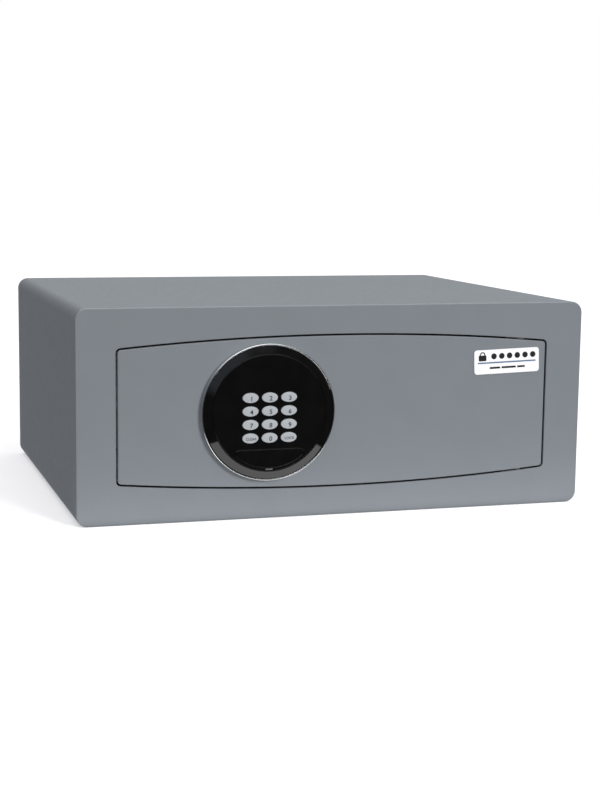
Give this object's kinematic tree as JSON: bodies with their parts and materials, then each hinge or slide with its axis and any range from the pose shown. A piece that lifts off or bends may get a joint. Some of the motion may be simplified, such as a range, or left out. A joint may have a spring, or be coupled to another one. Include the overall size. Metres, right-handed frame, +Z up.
{
  "type": "in-room safe",
  "caption": "Low grey steel in-room safe with a flush arched door, round black keypad with oval keys, motor-driven bolts and a lined storage space.",
  "frame": {"origin": "centre of the bounding box's footprint, on the surface the safe stands on", "axes": "+X along the width, to the right seen from the front; +Y from the door to the back; +Z up"},
  "size_m": [0.5, 0.409, 0.2],
  "materials": {
    "cabinet_paint": "satin powder coat, fine texture",
    "felt": "short needle-punched felt",
    "zinc_steel": "zinc-plated",
    "bright_steel": "turned, bright",
    "nylon": "natural nylon",
    "chrome": "bright plated",
    "black_gloss": "high gloss black",
    "black_matt": "moulded, matt black",
    "key_grey": "silver-grey satin",
    "silicone": "matt",
    "board_green": "solder resist",
    "brass": "machined",
    "white_label": "white film",
    "cell_wrap": "printed sleeve"
  },
  "bodies": {
    "cabinet": {"outer_shell": "cabinet_paint", "front_frame": "cabinet_paint", "back_panel": "cabinet_paint", "base_mat": "felt", "strike_channel": "zinc_steel", "hinge_bracket_upper": "zinc_steel", "hinge_bracket_lower": "zinc_steel", "hinge_bush_upper": "nylon", "hinge_bush_lower": "nylon"},
    "door": {"door_plate": "cabinet_paint", "door_inner_cover": "cabinet_paint", "hinge_lug_upper": "zinc_steel", "hinge_lug_lower": "zinc_steel", "hinge_pin_upper": "bright_steel", "hinge_pin_lower": "bright_steel", "bolt_guide_upper": "black_matt", "bolt_guide_lower": "black_matt", "lock_motor": "zinc_steel", "lock_gearbox": "black_matt", "control_board": "board_green", "battery_holder": "black_matt", "battery_1": "cell_wrap", "battery_2": "cell_wrap", "battery_3": "cell_wrap", "battery_4": "cell_wrap", "keypad_housing": "black_gloss", "bezel_ring": "chrome", "fascia_lens": "black_gloss", "display_module": "black_matt", "key_mat": "silicone", "keypad_board": "board_green", "keypad_cable": "silicone", "override_lock_body": "brass", "front_label": "white_label", "cover_screw_1": "zinc_steel", "cover_screw_2": "zinc_steel", "cover_screw_3": "zinc_steel", "cover_screw_4": "zinc_steel"},
    "bolts": {"lock_bolt_upper": "bright_steel", "lock_bolt_lower": "bright_steel", "bolt_carriage": "zinc_steel"},
    "pinion": {"drive_pinion": "brass"},
    "override_barrel": {"override_plug": "brass", "override_cam": "zinc_steel"},
    "battery_lid": {"battery_lid": "black_matt"},
    "service_cover": {"service_cover": "black_gloss"},
    "key_1": {"key_1": "key_grey"},
    "key_2": {"key_2": "key_grey"},
    "key_3": {"key_3": "key_grey"},
    "key_4": {"key_4": "key_grey"},
    "key_5": {"key_5": "key_grey"},
    "key_6": {"key_6": "key_grey"},
    "key_7": {"key_7": "key_grey"},
    "key_8": {"key_8": "key_grey"},
    "key_9": {"key_9": "key_grey"},
    "key_clear": {"key_clear": "key_grey"},
    "key_0": {"key_0": "key_grey"},
    "key_lock": {"key_lock": "key_grey"}
  },
  "joints": [
    {"name": "door_hinge", "type": "hinge", "parent": "cabinet", "child": "door", "pos_m": [0.1875, -0.1878, 0.1], "axis": [0, 0, 1], "range_deg": [0, 95]},
    {"name": "bolt_throw", "type": "slide", "parent": "door", "child": "bolts", "axis": [-1, 0, 0], "range_m": [0, 0.018]},
    {"name": "drive_pinion_turn", "type": "hinge", "parent": "door", "child": "pinion", "pos_m": [-0.09, -0.1775, 0.109], "axis": [0, 1, 0], "range_deg": [0, 115]},
    {"name": "barrel_turn", "type": "hinge", "parent": "door", "child": "override_barrel", "pos_m": [-0.0705, -0.1955, 0.0582], "axis": [0, 1, 0], "range_deg": [0, 90]},
    {"name": "battery_lid_slide", "type": "slide", "parent": "door", "child": "battery_lid", "axis": [-1, 0, 0], "range_m": [0, 0.07]},
    {"name": "cover_pull", "type": "slide", "parent": "door", "child": "service_cover", "axis": [0, -1, 0], "range_m": [0, 0.02]},
    {"name": "key_1_press", "type": "slide", "parent": "door", "child": "key_1", "axis": [0, 1, 0], "range_m": [0, 0.001], "stiffness_N_per_m": 800, "springref_m": -0.0006},
    {"name": "key_2_press", "type": "slide", "parent": "door", "child": "key_2", "axis": [0, 1, 0], "range_m": [0, 0.001], "stiffness_N_per_m": 800, "springref_m": -0.0006},
    {"name": "key_3_press", "type": "slide", "parent": "door", "child": "key_3", "axis": [0, 1, 0], "range_m": [0, 0.001], "stiffness_N_per_m": 800, "springref_m": -0.0006},
    {"name": "key_4_press", "type": "slide", "parent": "door", "child": "key_4", "axis": [0, 1, 0], "range_m": [0, 0.001], "stiffness_N_per_m": 800, "springref_m": -0.0006},
    {"name": "key_5_press", "type": "slide", "parent": "door", "child": "key_5", "axis": [0, 1, 0], "range_m": [0, 0.001], "stiffness_N_per_m": 800, "springref_m": -0.0006},
    {"name": "key_6_press", "type": "slide", "parent": "door", "child": "key_6", "axis": [0, 1, 0], "range_m": [0, 0.001], "stiffness_N_per_m": 800, "springref_m": -0.0006},
    {"name": "key_7_press", "type": "slide", "parent": "door", "child": "key_7", "axis": [0, 1, 0], "range_m": [0, 0.001], "stiffness_N_per_m": 800, "springref_m": -0.0006},
    {"name": "key_8_press", "type": "slide", "parent": "door", "child": "key_8", "axis": [0, 1, 0], "range_m": [0, 0.001], "stiffness_N_per_m": 800, "springref_m": -0.0006},
    {"name": "key_9_press", "type": "slide", "parent": "door", "child": "key_9", "axis": [0, 1, 0], "range_m": [0, 0.001], "stiffness_N_per_m": 800, "springref_m": -0.0006},
    {"name": "key_clear_press", "type": "slide", "parent": "door", "child": "key_clear", "axis": [0, 1, 0], "range_m": [0, 0.001], "stiffness_N_per_m": 800, "springref_m": -0.0006},
    {"name": "key_0_press", "type": "slide", "parent": "door", "child": "key_0", "axis": [0, 1, 0], "range_m": [0, 0.001], "stiffness_N_per_m": 800, "springref_m": -0.0006},
    {"name": "key_lock_press", "type": "slide", "parent": "door", "child": "key_lock", "axis": [0, 1, 0], "range_m": [0, 0.001], "stiffness_N_per_m": 800, "springref_m": -0.0006}
  ],
  "couplings": [
    {"joint": "drive_pinion_turn", "follows": "bolt_throw", "rad_per_m": 111.11}
  ]
}
